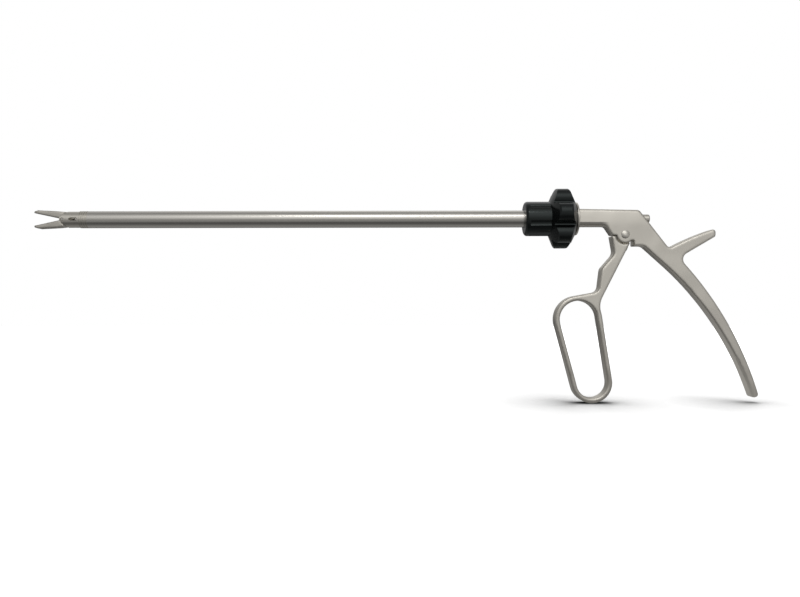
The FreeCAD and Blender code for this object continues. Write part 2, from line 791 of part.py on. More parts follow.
# Drive rod with its spool
def make_drive_rod():
    front = drive_pin_x - rod_end
    tail_end = spool_front + rod_tail
    body = turned(
        "drive_rod",
        [
            (front, 0),
            (tail_end, 0),
            (tail_end, rod_tail_radius),
            (spool_front, rod_tail_radius),
            (spool_front, rod_radius),
            (front, rod_radius),
        ],
    )
    # Two flats leave a blade that fits between the tangs
    back = front + flat_length
    for hand in (1, -1):
        sketch = new_sketch(body, "XY_Plane")
        inner = hand * rod_flat
        outer = hand * (rod_radius + gap)
        outline(sketch, [(front - gap, inner), (back, inner), (back, outer), (front - gap, outer)])
        pocket(body, sketch, 4 * rod_radius)
    sketch = new_sketch(body, "XZ_Plane")
    disc(sketch, drive_pin_x, 0, drive_pin_radius)
    pocket(body, sketch, 4 * rod_radius)
    return body


def make_rod_spool():
    groove_rear = groove_front + spool_groove
    tail_end = spool_front + rod_tail
    body = turned(
        "rod_spool",
        [
            (spool_front, rod_tail_radius),
            (tail_end, rod_tail_radius),
            (tail_end, 0),
            (spool_end, 0),
            (spool_end, spool_radius),
            (groove_rear, spool_radius),
            (groove_rear, spool_core),
            (groove_front, spool_core),
            (groove_front, spool_radius),
            (spool_front, spool_radius),
        ],
    )
    rounded(body, spool_round, circle_of(spool_radius, spool_end))
    return body


def make_return_spring():
    """An open coil between the spigot's plug and the spool's front collar."""
    body = new_body("return_spring")
    sketch = new_sketch(body, "XZ_Plane")
    start = plug_end + spring_wire + slide_fit
    disc(sketch, start, spring_radius, spring_wire)
    coil = body.newObject("PartDesign::AdditiveHelix", "return_spring_coil")
    coil.Profile = sketch
    coil.ReferenceAxis = (sketch, ["H_Axis"])
    coil.Mode = "pitch-height-angle"
    bind(coil, "Pitch", spring_pitch)
    bind(coil, "Height", spool_front - plug_end - 2 * (spring_wire + slide_fit))
    body.Tip = coil
    return body


# Knob, hub, socket and seal
def heading(start, end):
    return math.atan2(end.y - start.y, end.x - start.x)


def star_outline(sketch):
    """Round lobes joined by round valleys, each arc touching the next."""
    count = int(lobe_count.value)
    step = 360 / lobe_count
    half = value_of(step) / 2
    across = lobe_centre.value * math.sin(math.radians(half))
    reach = lobe_radius.value + valley_round.value
    valley_centre = lobe_centre.value * math.cos(math.radians(half))
    valley_centre += math.sqrt(reach * reach - across * across)
    up = FreeCAD.Vector(0, 0, 1)
    lobes = []
    valleys = []
    for number in range(count):
        turned_by = lobe_turn + number * step
        middle = math.radians(turned_by.value) + math.pi / 2
        next_valley = middle + math.radians(half)
        last_valley = middle - math.radians(half)
        lobe = FreeCAD.Vector(math.cos(middle), math.sin(middle), 0) * lobe_centre.value
        after = FreeCAD.Vector(math.cos(next_valley), math.sin(next_valley), 0) * valley_centre
        before = FreeCAD.Vector(math.cos(last_valley), math.sin(last_valley), 0) * valley_centre
        begin = heading(lobe, before)
        finish = heading(lobe, after)
        arc = Part.ArcOfCircle(Part.Circle(lobe, up, lobe_radius.value), begin, finish)
        lobes.append(sketch.addGeometry(arc))
        following = middle + math.radians(value_of(step))
        beyond = FreeCAD.Vector(math.cos(following), math.sin(following), 0) * lobe_centre.value
        valley = Part.Circle(after, up, valley_round.value)
        arc = Part.ArcOfCircle(valley, heading(after, beyond), heading(after, lobe))
        valleys.append(sketch.addGeometry(arc))
    for number in range(count):
        following = lobes[(number + 1) % count]
        joints = [(lobes[number], 2, valleys[number], 2), (valleys[number], 1, following, 1)]
        for joint in joints:
            sketch.addConstraint(Sketcher.Constraint("Tangent", *joint))
        turned_by = lobe_turn + number * step
        hold_point(
            sketch, lobes[number], 3, -lobe_centre * sine(turned_by), lobe_centre * cosine(turned_by)
        )
        hold(sketch, lobe_radius, "Radius", lobes[number])
        hold(sketch, valley_round, "Radius", valleys[number])


def make_rotation_knob():
    body = turned(
        "rotation_knob",
        [
            (0, seat_radius + slide_fit),
            (lip, seat_radius + slide_fit),
            (lip, socket_radius),
            (hub_start, socket_radius),
            (hub_start, hub_radius),
            (knob_length, hub_radius),
            (knob_length, star_rear_radius),
            (0, star_rear_radius),
        ],
    )
    # Sleeve with its rounded front edge
    sketch = new_sketch(body, "XZ_Plane")
    inside = hub_radius + gap
    outline(
        sketch,
        [(0, inside), (sleeve_length, inside), (sleeve_length, sleeve_radius), (0, sleeve_radius)],
    )
    turn(body, sketch)
    rounded(body, sleeve_round, circle_of(sleeve_radius, 0))
    # Shallow flutes along the sleeve
    sketch = new_sketch(body, "YZ_Plane", flute_front)
    reach = sleeve_radius - flute_depth + flute_radius
    disc(sketch, -reach * sine(flute_turn), reach * cosine(flute_turn), flute_radius)
    flute = pocket(body, sketch, sleeve_length - flute_front, centred=False, reverse=True)
    repeated(body, flute, lobe_count)
    # Star of lobes, with a cone in front and behind
    sketch = new_sketch(body, "YZ_Plane", sleeve_length)
    star_outline(sketch)
    pad(body, sketch, knob_length - sleeve_length, centred=False)
    top = lobe_centre + lobe_radius

    def soft_cone(foot_x, foot_radius, slope, way):
        """Cuts a cone up to the tops of the lobes and rounds it over into them."""
        rise = top - foot_radius
        length = diagonal(slope, rise)
        share = star_round / length
        start = (foot_x + way * slope * (1 - share), top - rise * share)
        end = (foot_x + way * (slope + star_round), top)
        radius = star_round * rise / (length - slope)
        outside = top + gap
        bored(
            body,
            [(foot_x, foot_radius), start, end, (end[0], outside), (foot_x, outside)],
            {1: (radius, -way)},
        )

    soft_cone(sleeve_length, sleeve_radius, star_front_slope, 1)
    soft_cone(knob_length, star_rear_radius, star_rear_slope, -1)
    # The hub's seat runs through the star
    bored(body, [(hub_start, 0), (knob_length, 0), (knob_length, hub_radius), (hub_start, hub_radius)])
    # Hole for the set screw, on the far side
    sketch = new_sketch(body, "XZ_Plane")
    disc(sketch, screw_place, 0, screw_radius)
    pocket(body, sketch, sleeve_radius + gap, centred=False)
    return body


def make_knob_hub():
    body = turned(
        "knob_hub",
        [
            (hub_start, socket_radius),
            (hub_bearing, socket_radius),
            (hub_bearing, journal_radius + slide_fit),
            (hub_end, journal_radius + slide_fit),
            (hub_end, hub_radius),
            (hub_start, hub_radius),
        ],
    )
    sketch = new_sketch(body, "XZ_Plane")
    disc(sketch, screw_place, 0, screw_radius)
    pocket(body, sketch, sleeve_radius, centred=False)
    return body


def make_tube_socket():
    pocket_start = tube_seat + socket_floor
    bore = rod_radius + rod_fit
    body = turned(
        "tube_socket",
        [
            (lip, seat_radius),
            (tube_seat, seat_radius),
            (tube_seat, bore),
            (pocket_start, bore),
            (pocket_start, seal_pocket),
            (socket_end, seal_pocket),
            (socket_end, socket_radius),
            (lip, socket_radius),
        ],
    )
    # Dimple for the point of the set screw
    sketch = new_sketch(body, "XZ_Plane", -socket_radius - gap)
    disc(sketch, screw_place, 0, screw_radius)
    pocket(body, sketch, socket_radius + gap - screw_point, centred=False, reverse=True)
    return body


def make_rod_seal():
    """An O-ring round the rod, in the socket's pocket."""
    ring = doc.addObject("Part::Torus", "rod_seal")
    ring.Label = "rod_seal"
    bind(ring, "Radius1", rod_radius + slide_fit + seal_wire)
    bind(ring, "Radius2", seal_wire)
    centre = tube_seat + socket_floor + seal_wire
    ring.Placement = FreeCAD.Placement(
        FreeCAD.Vector(value_of(centre), 0, 0),
        FreeCAD.Rotation(FreeCAD.Vector(0, 1, 0), 90),
    )
    bind(ring, "Placement.Base.x", centre)
    return ring


def make_seal_washer():
    front = tube_seat + socket_floor + 2 * seal_wire
    rear = front + seal_washer_thickness
    bore = rod_radius + rod_fit
    return turned(
        "seal_washer", [(front, bore), (rear, bore), (rear, seal_pocket), (front, seal_pocket)]
    )


def make_set_screw():
    """A grub screw on the far side of the sleeve, with its key socket outwards."""
    body = new_body("knob_set_screw")
    sketch = new_sketch(body, "XZ_Plane", -screw_top)
    disc(sketch, screw_place, 0, screw_radius)
    pad(body, sketch, screw_top - screw_point, centred=False)
    sketch = new_sketch(body, "XZ_Plane", -screw_top)
    disc(sketch, screw_place, 0, screw_hex)
    pocket(body, sketch, (screw_top - screw_point) / 2, centred=False, reverse=True)
    return body


# Front spigot with its ring and washer
def make_front_spigot():
    ring_rear = clip_ring_start + clip_ring_thickness
    bore = rod_radius + rod_fit
    body = turned(
        "front_spigot",
        [
            (journal_start, bore),
            (plug_end, bore),
            (plug_end, plug_radius),
            (flange_rear, plug_radius),
            (flange_rear, flange_radius),
            (flange_front, flange_radius),
            (flange_front, journal_radius),
            (ring_rear, journal_radius),
            (ring_rear, clip_groove_radius),
            (clip_ring_start, clip_groove_radius),
            (clip_ring_start, journal_radius),
            (journal_start, journal_radius),
        ],
    )
    rims = (circle_of(flange_radius, flange_front), circle_of(flange_radius, flange_rear))
    rounded(body, flange_round, lambda edge: any(test(edge) for test in rims))
    return body


def make_retaining_ring():
    rear = clip_ring_start + clip_ring_thickness
    body = turned(
        "retaining_ring",
        [
            (clip_ring_start, clip_groove_radius),
            (rear, clip_groove_radius),
            (rear, clip_ring_radius),
            (clip_ring_start, clip_ring_radius),
        ],
    )
    # The ring is open below, so that it snaps over the journal
    sketch = new_sketch(body, "YZ_Plane")
    half = clip_ring_mouth / 2
    low = -clip_ring_radius - gap
    outline(sketch, [(-half, 0), (-half, low), (half, low), (half, 0)])
    pocket(body, sketch, 3 * clip_ring_start)
    return body


def make_thrust_washer():
    return turned(
        "thrust_washer",
        [
            (washer_front, journal_radius),
            (flange_front, journal_radius),
            (flange_front, washer_radius),
            (washer_front, washer_radius),
        ],
    )


# Frame
def make_frame():
    body = new_body("frame")
    neck_corners = [
        (neck_end, neck_top_rear),
        (neck_corner, neck_corner_height),
    ]
    saddle = (saddle_x, -saddle_drop)
    spur = [(spur_x, -spur_top_drop), (spur_x, -spur_low_drop)]
    throat = (throat_x, -throat_drop)
    handle_end = [
        (handle_end_back_x, -handle_end_back_drop),
        (handle_end_front_x, -handle_end_front_drop),
    ]
    handle_top = (handle_top_x, -handle_top_drop)
    belly = (belly_x, -belly_drop)
    chin_top = (chin_top_x, -neck_bottom)
    sketch = new_sketch(body, "XZ_Plane")
    outline(
        sketch,
        [
            (flange_rear, neck_top_front),
            *neck_corners,
            saddle,
            *spur,
            throat,
            *handle_end,
            handle_top,
            belly,
            (chin_x, -belly_drop),
            (chin_x, -chin_drop),
            chin_top,
            (flange_rear, -neck_bottom),
        ],
        {3: (spur_arc, -1), 6: (handle_back_arc, -1), 8: (handle_front_arc, 1)},
    )
    pad(body, sketch, plate)
    rounded(body, saddle_round, across_at(saddle))
    rounded(body, spur_round, across_at(*spur))
    rounded(body, throat_round, across_at(throat, belly))
    rounded(body, handle_end_round, across_at(*handle_end))
    rounded(body, chin_round, across_at(chin_top))

    def not_at_flange(edge):
        return edge.BoundBox.XMax > value_of(flange_rear) + NEAR

    rounded(body, frame_rim, on_faces(half_plate, not_at_flange))
    # Below the chin only the lobe round the pivot is left, with a notch behind it
    notch_half = notch_drop - pivot_drop
    chin_half = chin_drop - pivot_drop
    sketch = new_sketch(body, "XZ_Plane")
    below = belly_drop + gap
    outline(
        sketch,
        [
            (slot_rear, -notch_drop),
            (pivot_x + root(pivot_lobe, notch_half), -notch_drop),
            (pivot_x - root(pivot_lobe, chin_half), -chin_drop),
            (chin_x - 2 * gap, -chin_drop),
            (chin_x - 2 * gap, -below),
            (slot_rear, -below),
        ],
        {1: (pivot_lobe, -1)},
    )
    pocket(body, sketch, 2 * plate)

    def rim_of_lobe(edge):
        return edge.BoundBox.ZMax < NEAR - chin_drop.value and "Circle" in edge.Curve.TypeId

    rounded(body, lobe_round, on_faces(half_plate, rim_of_lobe))
    # The slot for the trigger's tongue
    sketch = new_sketch(body, "XZ_Plane")
    outline(
        sketch,
        [(slot_front, -below), (slot_rear, -below), (slot_rear, slot_top), (slot_front, slot_top)],
    )
    pocket(body, sketch, slot_width)
    # Bore for the plug, the spring and the spool, out through the rear slope
    bored(
        body,
        [
            (flange_rear - gap, 0),
            (spool_end + gap, 0),
            (spool_end + gap, spool_bore),
            (plug_end, spool_bore),
            (plug_end, plug_radius),
            (flange_rear - gap, plug_radius),
        ],
    )
    sketch = new_sketch(body, "XZ_Plane")
    disc(sketch, pivot_x, pivot_z, pivot_radius)
    pocket(body, sketch, 2 * plate)
    return body


def make_pivot_pin():
    """A riveted pin with a domed head on each cheek of the frame."""
    body = new_body("pivot_pin")
    sketch = new_sketch(body, "XY_Plane")
    half = pivot_dome / 2
    sphere = (pivot_head * pivot_head + pivot_dome * pivot_dome) / (2 * pivot_dome)
    outline(
        sketch,
        [
            (0, -half_plate - pivot_dome),
            (pivot_head, -half_plate),
            (pivot_radius, -half_plate),
            (pivot_radius, half_plate),
            (pivot_head, half_plate),
            (0, half_plate + pivot_dome),
        ],
        {0: (sphere, 1), 4: (sphere, 1)},
    )
    turn(body, sketch, axis="V_Axis")
    body.Placement = FreeCAD.Placement(
        FreeCAD.Vector(value_of(pivot_x), 0, value_of(pivot_z)), FreeCAD.Rotation()
    )
    bind(body, "Placement.Base.x", pivot_x)
    bind(body, "Placement.Base.z", pivot_z)
    return body


# Trigger
def along_fork(distance, aside):
    """A point this far from the pivot along the fork, and this far to its rear side."""
    return (
        pivot_x + distance * sine(lean) + aside * cosine(lean),
        pivot_z + distance * cosine(lean) - aside * sine(lean),
    )


def make_trigger():
    body = new_body("trigger")
    upper = (loop_top_x, -loop_top_drop)
    lower = (loop_low_x, -loop_low_drop)
    outer = loop_top_radius + loop_bar
    loop_touch = (upper[0] - outer * sine(loop_tilt), upper[1] + outer * cosine(loop_tilt))
    ring_corner = (
        ring_corner_x,
        loop_touch[1] + (ring_corner_x - loop_touch[0]) * tangent(loop_tilt),
    )
    bar_middle = loop_top_radius + loop_bar / 2
    lever_end = (
        upper[0] + bar_middle * cosine(lever_back),
        upper[1] + bar_middle * sine(lever_back),
    )
    swell = (swell_x, -swell_drop)
    dip = (dip_x, -dip_drop)
    front_half = shoulder_drop - pivot_drop
    shoulder_front = (pivot_x - root(shoulder_radius, front_half), -shoulder_drop)
    shoulder_rear = (
        pivot_x + shoulder_radius * cosine(shoulder_angle),
        pivot_z - shoulder_radius * sine(shoulder_angle),
    )
    # Finger loop blank
    sketch = new_sketch(body, "XZ_Plane")
    belt(sketch, (*upper, outer), (*lower, loop_low_radius + loop_bar))
    pad(body, sketch, plate)
    # Lever from the loop up to the shoulder round the frame's lobe
    sketch = new_sketch(body, "XZ_Plane")
    outline(
        sketch,
        [
            (trigger_front_x, -shoulder_drop),
            shoulder_front,
            shoulder_rear,
            lever_end,
            (upper[0], upper[1] + loop_top_radius),
            loop_touch,
            ring_corner,
            swell,
            dip,
        ],
        {1: (shoulder_radius, 1)},
    )
    pad(body, sketch, plate)
    rounded(body, dip_round, across_at(dip))
    rounded(body, swell_round, across_at(swell, ring_corner))

    def behind_loop(edge):
        box = edge.BoundBox
        straight = box.XLength < NEAR and box.ZLength < NEAR and box.YLength > NEAR
        aside = box.Center.x - value_of(lever_end[0])
        above = box.Center.z - value_of(lever_end[1])
        return straight and math.hypot(aside, above) < value_of(loop_bar)

    rounded(body, ring_back_round, behind_loop)
    # Finger hole
    sketch = new_sketch(body, "XZ_Plane")
    belt(sketch, (*upper, loop_top_radius), (*lower, loop_low_radius))
    pocket(body, sketch, 2 * plate)

    def clear_of_shoulder(edge):
        centre = edge.BoundBox.Center
        away = math.hypot(centre.x - value_of(pivot_x), centre.z - value_of(pivot_z))
        return away > value_of(shoulder_radius) + value_of(gap)

    def top_edge(edge):
        return abs(edge.BoundBox.ZMin + value_of(shoulder_drop)) < NEAR

    rounded(
        body,
        trigger_rim,
        on_faces(half_plate, lambda edge: clear_of_shoulder(edge) and not top_edge(edge)),
    )
    # Tongue, hub and fork, thin enough for the frame's slot
    sketch = new_sketch(body, "XZ_Plane")
    belt(
        sketch,
        (pivot_x, pivot_z, tongue_hub),
        (tongue_root_x, -tongue_root_drop, tongue_root),
    )
    pad(body, sketch, tongue)
    sketch = new_sketch(body, "XZ_Plane")
    outline(
        sketch,
        [
            along_fork(0, -fork_arm),
            along_fork(fork_reach, -fork_arm),
            along_fork(fork_reach, fork_arm),
            along_fork(0, fork_arm),
        ],
    )
    pad(body, sketch, tongue)
    sketch = new_sketch(body, "XZ_Plane")
    disc(sketch, fork_x, 0, fork_tip)
    pad(body, sketch, tongue)
    sketch = new_sketch(body, "XZ_Plane")
    above = fork_reach + 2 * fork_tip
    wide = 2 * fork_tip
    outline(
        sketch,
        [
            along_fork(fork_floor, -wide),
            along_fork(above, -wide),
            along_fork(above, wide),
            along_fork(fork_floor, wide),
        ],
    )
    pocket(body, sketch, 2 * (spool_core + 2 * slide_fit))
    sketch = new_sketch(body, "XZ_Plane")
    disc(sketch, pivot_x, pivot_z, pivot_radius + slide_fit)
    pocket(body, sketch, 2 * plate)
    return body


parts = [
    make_outer_tube(),
    make_rod_guide("rod_guide_front", -guide_front),
    make_rod_guide("rod_guide_rear", -guide_rear),
    make_jaw_carrier(),
    make_cross_pin("jaw_pivot_pin", hinge_x, 0, hinge_radius, hinge_reach, ring_groove),
    make_jaw("upper_jaw", 1),
    make_jaw("lower_jaw", -1),
    make_cross_pin("drive_pin", drive_pin_x, 0, drive_pin_radius, drive_pin_reach, ring_groove),
    make_drive_rod(),
    make_rod_spool(),
    make_return_spring(),
    make_rotation_knob(),
    make_knob_hub(),
    make_tube_socket(),
    make_rod_seal(),
    make_seal_washer(),
    make_set_screw(),
    make_front_spigot(),
    make_retaining_ring(),
    make_thrust_washer(),
    make_frame(),
    make_pivot_pin(),
    make_trigger(),
]
doc.recompute()

failed = [item.Label for item in doc.Objects if {"Invalid", "Error"} & set(item.State)]
if failed:
    raise RuntimeError(f"failed: {failed}")
for part in parts:
    if part.Shape.isNull() or not part.Shape.isValid() or not part.Shape.Solids:
        raise RuntimeError(f"{part.Label} has no valid solid")
for part in parts:
    part.Shape.exportStep(f"parts/{part.Label}.step")
    print(part.Label, len(part.Shape.Solids), round(part.Shape.Volume, 2))
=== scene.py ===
import math

import bmesh
import bpy
from mathutils import Matrix, Vector


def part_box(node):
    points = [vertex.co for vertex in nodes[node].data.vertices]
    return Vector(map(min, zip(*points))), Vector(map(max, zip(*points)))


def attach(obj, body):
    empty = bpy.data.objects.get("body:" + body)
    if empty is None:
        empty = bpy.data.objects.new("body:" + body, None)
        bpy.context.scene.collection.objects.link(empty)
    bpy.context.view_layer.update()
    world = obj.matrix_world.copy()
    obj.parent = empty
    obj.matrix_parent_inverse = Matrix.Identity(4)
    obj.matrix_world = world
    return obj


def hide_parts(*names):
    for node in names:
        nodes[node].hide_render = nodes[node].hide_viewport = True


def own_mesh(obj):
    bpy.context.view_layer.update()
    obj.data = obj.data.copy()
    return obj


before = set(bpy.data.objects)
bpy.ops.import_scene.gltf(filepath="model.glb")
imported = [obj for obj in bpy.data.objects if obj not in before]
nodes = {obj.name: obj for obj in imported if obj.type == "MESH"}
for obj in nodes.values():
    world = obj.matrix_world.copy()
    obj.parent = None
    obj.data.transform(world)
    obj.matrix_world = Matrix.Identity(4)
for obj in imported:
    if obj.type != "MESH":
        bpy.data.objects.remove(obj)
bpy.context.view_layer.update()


# Frame, trigger and jaws: forged stainless steel, bead-blasted after grinding.
# The blasting leaves an even, fine grain with a soft satin sheen.
class Signal:
    """A value in a node tree, on which ordinary arithmetic adds Math nodes."""

    def __init__(self, tree, socket):
        self.tree = tree
        self.socket = socket

    def maths(self, operation, first, second=None):
        node = self.tree.nodes.new("ShaderNodeMath")
        node.operation = operation
        for index, item in enumerate((first, second)):
            if isinstance(item, Signal):
                self.tree.links.new(item.socket, node.inputs[index])
            elif item is not None:
                node.inputs[index].default_value = item
        return Signal(self.tree, node.outputs[0])

    def __add__(self, other):
        return self.maths("ADD", self, other)

    def __radd__(self, other):
        return self.maths("ADD", other, self)

    def __sub__(self, other):
        return self.maths("SUBTRACT", self, other)

    def __rsub__(self, other):
        return self.maths("SUBTRACT", other, self)

    def __mul__(self, other):
        return self.maths("MULTIPLY", self, other)

    def __rmul__(self, other):
        return self.maths("MULTIPLY", other, self)

    def __pow__(self, other):
        return self.maths("POWER", self, other)

    def at_least(self, lowest):
        return self.maths("MAXIMUM", self, lowest)

    def at_most(self, highest):
        return self.maths("MINIMUM", self, highest)


class Finish:
    """A material, and the one way in which its nodes are added."""

    def __init__(self, name):
        self.material = bpy.data.materials.new(name)
        self.material.use_nodes = True
        self.tree = self.material.node_tree
        self.shader = self.tree.nodes["Principled BSDF"]
        self.place = self.node("ShaderNodeTexCoord", output="Object")

    def node(self, kind, settings=None, output=0, **inputs):
        """Adds a node: its settings first, then the values or links of its sockets."""
        item = self.tree.nodes.new(kind)
        for name, value in (settings or {}).items():
            if name == "stops":
                set_stops(item.color_ramp, value)
            else:
                setattr(item, name, value)
        for name, value in inputs.items():
            self.put(item.inputs[name.replace("_", " ")], value)
        return Signal(self.tree, item.outputs[output])

    def put(self, socket, value):
        if isinstance(value, Signal):
            self.tree.links.new(value.socket, socket)
        else:
            socket.default_value = value

    def surface(self, **inputs):
        for name, value in inputs.items():
            self.put(self.shader.inputs[name.replace("_", " ")], value)

    def noise(self, scale, detail=3.0, roughness=0.5, stretch=None):
        place = self.place
        if stretch:
            place = self.node("ShaderNodeMapping", Vector=place, Scale=stretch)
        return self.node(
            "ShaderNodeTexNoise", Vector=place, Scale=scale, Detail=detail, Roughness=roughness
        )

    def between(self, factor, first, second):
        """A colour that goes from the first to the second with the factor."""
        item = self.tree.nodes.new("ShaderNodeMix")
        item.data_type = "RGBA"
        self.put(item.inputs["Factor"], factor)
        self.put(item.inputs[6], (*first, 1))
        self.put(item.inputs[7], (*second, 1))
        return Signal(self.tree, item.outputs[2])

    def bumps(self, height, distance, strength=1.0, below=None):
        inputs = {"Height": height, "Distance": distance, "Strength": strength}
        if below is not None:
            inputs["Normal"] = below
        return self.node("ShaderNodeBump", **inputs)

    def clad(self, *names):
        """Puts the material on every slot of the named nodes."""
        for name in names:
            for slot in nodes[name].material_slots:
                slot.material = self.material


def set_stops(ramp, stops):
    while len(ramp.elements) < len(stops):
        ramp.elements.new(0.5)
    for element, (position, colour) in zip(ramp.elements, stops):
        element.position = position
        element.color = (*colour, 1)


BLASTED_PALE = (0.70, 0.67, 0.605)
BLASTED_DEEP = (0.62, 0.59, 0.53)
CLOUD_SCALE = 38.0
GRAIN_SCALE = 5200.0
PIT_SCALE = 1700.0
GROUND_SCALE = 55.0
GRAIN_HEIGHT = 0.000003
PIT_HEIGHT = 0.000008
GROUND_HEIGHT = 0.0007
SOFT_EDGE = 0.0018
EDGE_SAMPLES = 8
CREST_FROM = -0.0045
CREST_RADIUS = 0.085
ROLL_FROM = -0.0022
ROLL_DEPTH = 0.0025
ROLL_SLOPE = 0.5
NECK_END = 0.044
NECK_BLEND = 0.006


def blast(steel, shaped):
    """Gives a finish its blasted surface, on top of a normal that shapes it."""
    cloud = steel.noise(CLOUD_SCALE, detail=4.0, roughness=0.6)
    grain = steel.noise(GRAIN_SCALE, detail=2.0, roughness=0.7)
    pits = steel.noise(PIT_SCALE, detail=3.0, roughness=0.6)
    ground = steel.noise(GROUND_SCALE, detail=1.0, roughness=0.4)
    ground_by_hand = steel.bumps(ground, GROUND_HEIGHT, strength=1.0, below=shaped)
    pitted = steel.bumps(pits, PIT_HEIGHT, strength=0.25, below=ground_by_hand)
    steel.surface(
        Base_Color=steel.between(cloud * 0.8 + grain * 0.2, BLASTED_DEEP, BLASTED_PALE),
        Metallic=1.0,
        Roughness=0.33 + cloud * 0.08 + grain * 0.04,
        Normal=steel.bumps(grain, GRAIN_HEIGHT, strength=0.3, below=pitted),
    )


blasted = Finish("bead_blasted_steel")
blast(blasted, blasted.node("ShaderNodeBevel", {"samples": EDGE_SAMPLES}, Radius=SOFT_EDGE))
blasted.clad("trigger", "upper_jaw", "lower_jaw")

# The frame's neck and cheeks are dressed on a belt, which leaves them very
# slightly crowned, and rolls the neck's lower edge under.
crowned = Finish("bead_blasted_frame_steel")
soft_edges = crowned.node("ShaderNodeBevel", {"samples": EDGE_SAMPLES}, Radius=SOFT_EDGE)
height = crowned.node("ShaderNodeSeparateXYZ", output="Z", Vector=crowned.place)
along = crowned.node("ShaderNodeSeparateXYZ", output="X", Vector=crowned.place)
above = (height - CREST_FROM).at_least(0.0)
crest = above * above * (-0.5 / CREST_RADIUS)
under = (ROLL_FROM - height).at_least(0.0).at_most(ROLL_DEPTH)
on_neck = crowned.node(
    "ShaderNodeMapRange",
    {"interpolation_type": "SMOOTHSTEP"},
    Value=along,
    From_Min=NECK_END,
    From_Max=NECK_END + NECK_BLEND,
    To_Min=1.0,
    To_Max=0.0,
)
roll = under * on_neck * -ROLL_SLOPE
blast(crowned, crowned.bumps(crest + roll, 1.0, below=soft_edges))
crowned.clad("frame")


# Pivot pin: a stainless rivet through the frame's lobe, its two heads set down
# to flat domes and blasted together with the frame.
RIVET_PALE = (0.74, 0.71, 0.65)
RIVET_DEEP = (0.66, 0.63, 0.57)
HAMMER_SCALE = 700.0
HAMMER_HEIGHT = 0.00003

rivet = Finish("riveted_pin_steel")
hammered = rivet.noise(HAMMER_SCALE, detail=2.0, roughness=0.5)
rivet.surface(
    Base_Color=rivet.between(hammered, RIVET_DEEP, RIVET_PALE),
    Metallic=1.0,
    Roughness=0.36 + hammered * 0.08,
    Normal=rivet.bumps(hammered, HAMMER_HEIGHT, strength=0.5),
)
rivet.clad("pivot_pin")


# Shaft tube: drawn stainless tube, ground and then polished lengthwise.
# It is smoother than the handle, so the lamp shows in it as a clear bright line.
TUBE_PALE = (0.62, 0.60, 0.56)
TUBE_DEEP = (0.55, 0.53, 0.49)
DRAW_LINE_SCALE = 900.0
DRAW_LINE_STRETCH = (0.004, 1.0, 1.0)
DRAW_LINE_HEIGHT = 0.000003
HAZE_SCALE = 26.0

polished = Finish("polished_tube_steel")
draw_lines = polished.noise(
    DRAW_LINE_SCALE, detail=2.0, roughness=0.5, stretch=DRAW_LINE_STRETCH
)
haze = polished.noise(HAZE_SCALE, detail=3.0, roughness=0.5)
polished.surface(
    Base_Color=polished.between(haze * 0.7 + draw_lines * 0.3, TUBE_DEEP, TUBE_PALE),
    Metallic=1.0,
    Roughness=0.19 + haze * 0.05 + draw_lines * 0.04,
    Normal=polished.bumps(draw_lines, DRAW_LINE_HEIGHT, strength=0.3),
)
polished.clad("outer_tube", "jaw_pivot_pin", "drive_pin")


# Turned pieces: carrier, flange, rod and the small steel parts inside.
# They come off the lathe with very fine rings round the shaft's axis.
TURNED_PALE = (0.66, 0.635, 0.575)
TURNED_DEEP = (0.56, 0.535, 0.48)
RING_SCALE = 2600.0
RING_STRETCH = (1.0, 0.02, 0.02)
RING_HEIGHT = 0.000006
SMUDGE_SCALE = 60.0

turned_steel = Finish("turned_steel")
rings = turned_steel.noise(RING_SCALE, detail=1.0, roughness=0.5, stretch=RING_STRETCH)
smudge = turned_steel.noise(SMUDGE_SCALE, detail=3.0, roughness=0.5)
turned_steel.surface(
    Base_Color=turned_steel.between(smudge * 0.6 + rings * 0.4, TURNED_DEEP, TURNED_PALE),
    Metallic=1.0,
    Roughness=0.26 + rings * 0.1 + smudge * 0.04,
    Normal=turned_steel.bumps(rings, RING_HEIGHT, strength=0.6),
)
turned_steel.clad(
    "jaw_carrier",
    "drive_rod",
    "rod_spool",
    "front_spigot",
    "knob_hub",
    "tube_socket",
    "knob_set_screw",
    "retaining_ring",
)


# Return spring: an open coil of bright wire round the rod, inside the neck.
# Its front end stays on the spigot.
SPRING_WELD = 0.000001

coil_mesh = bmesh.new()
coil_mesh.from_mesh(nodes["return_spring"].data)
bmesh.ops.remove_doubles(coil_mesh, verts=coil_mesh.verts, dist=SPRING_WELD)
coil_data = bpy.data.meshes.new("spring_coil")
coil_mesh.to_mesh(coil_data)
coil_mesh.free()
coil_data.shade_smooth()
coil_data.materials.append(turned_steel.material)
coil = bpy.data.objects.new("spring_coil", coil_data)
bpy.context.scene.collection.objects.link(coil)
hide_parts("return_spring")
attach(coil, "frame")
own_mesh(coil)


# Rotation knob: moulded in black engineering plastic, with a glossy skin
# that has the faint waviness of a moulding.
KNOB_BLACK = (0.0015, 0.0018, 0.0018)
KNOB_WORN = (0.003, 0.0034, 0.0034)
KNOB_GLOSS_TINT = (0.88, 1.0, 0.98, 1)
WAVE_SCALE = 210.0
WAVE_HEIGHT = 0.00006
SPECKLE_SCALE = 3000.0
SPECKLE_HEIGHT = 0.000006

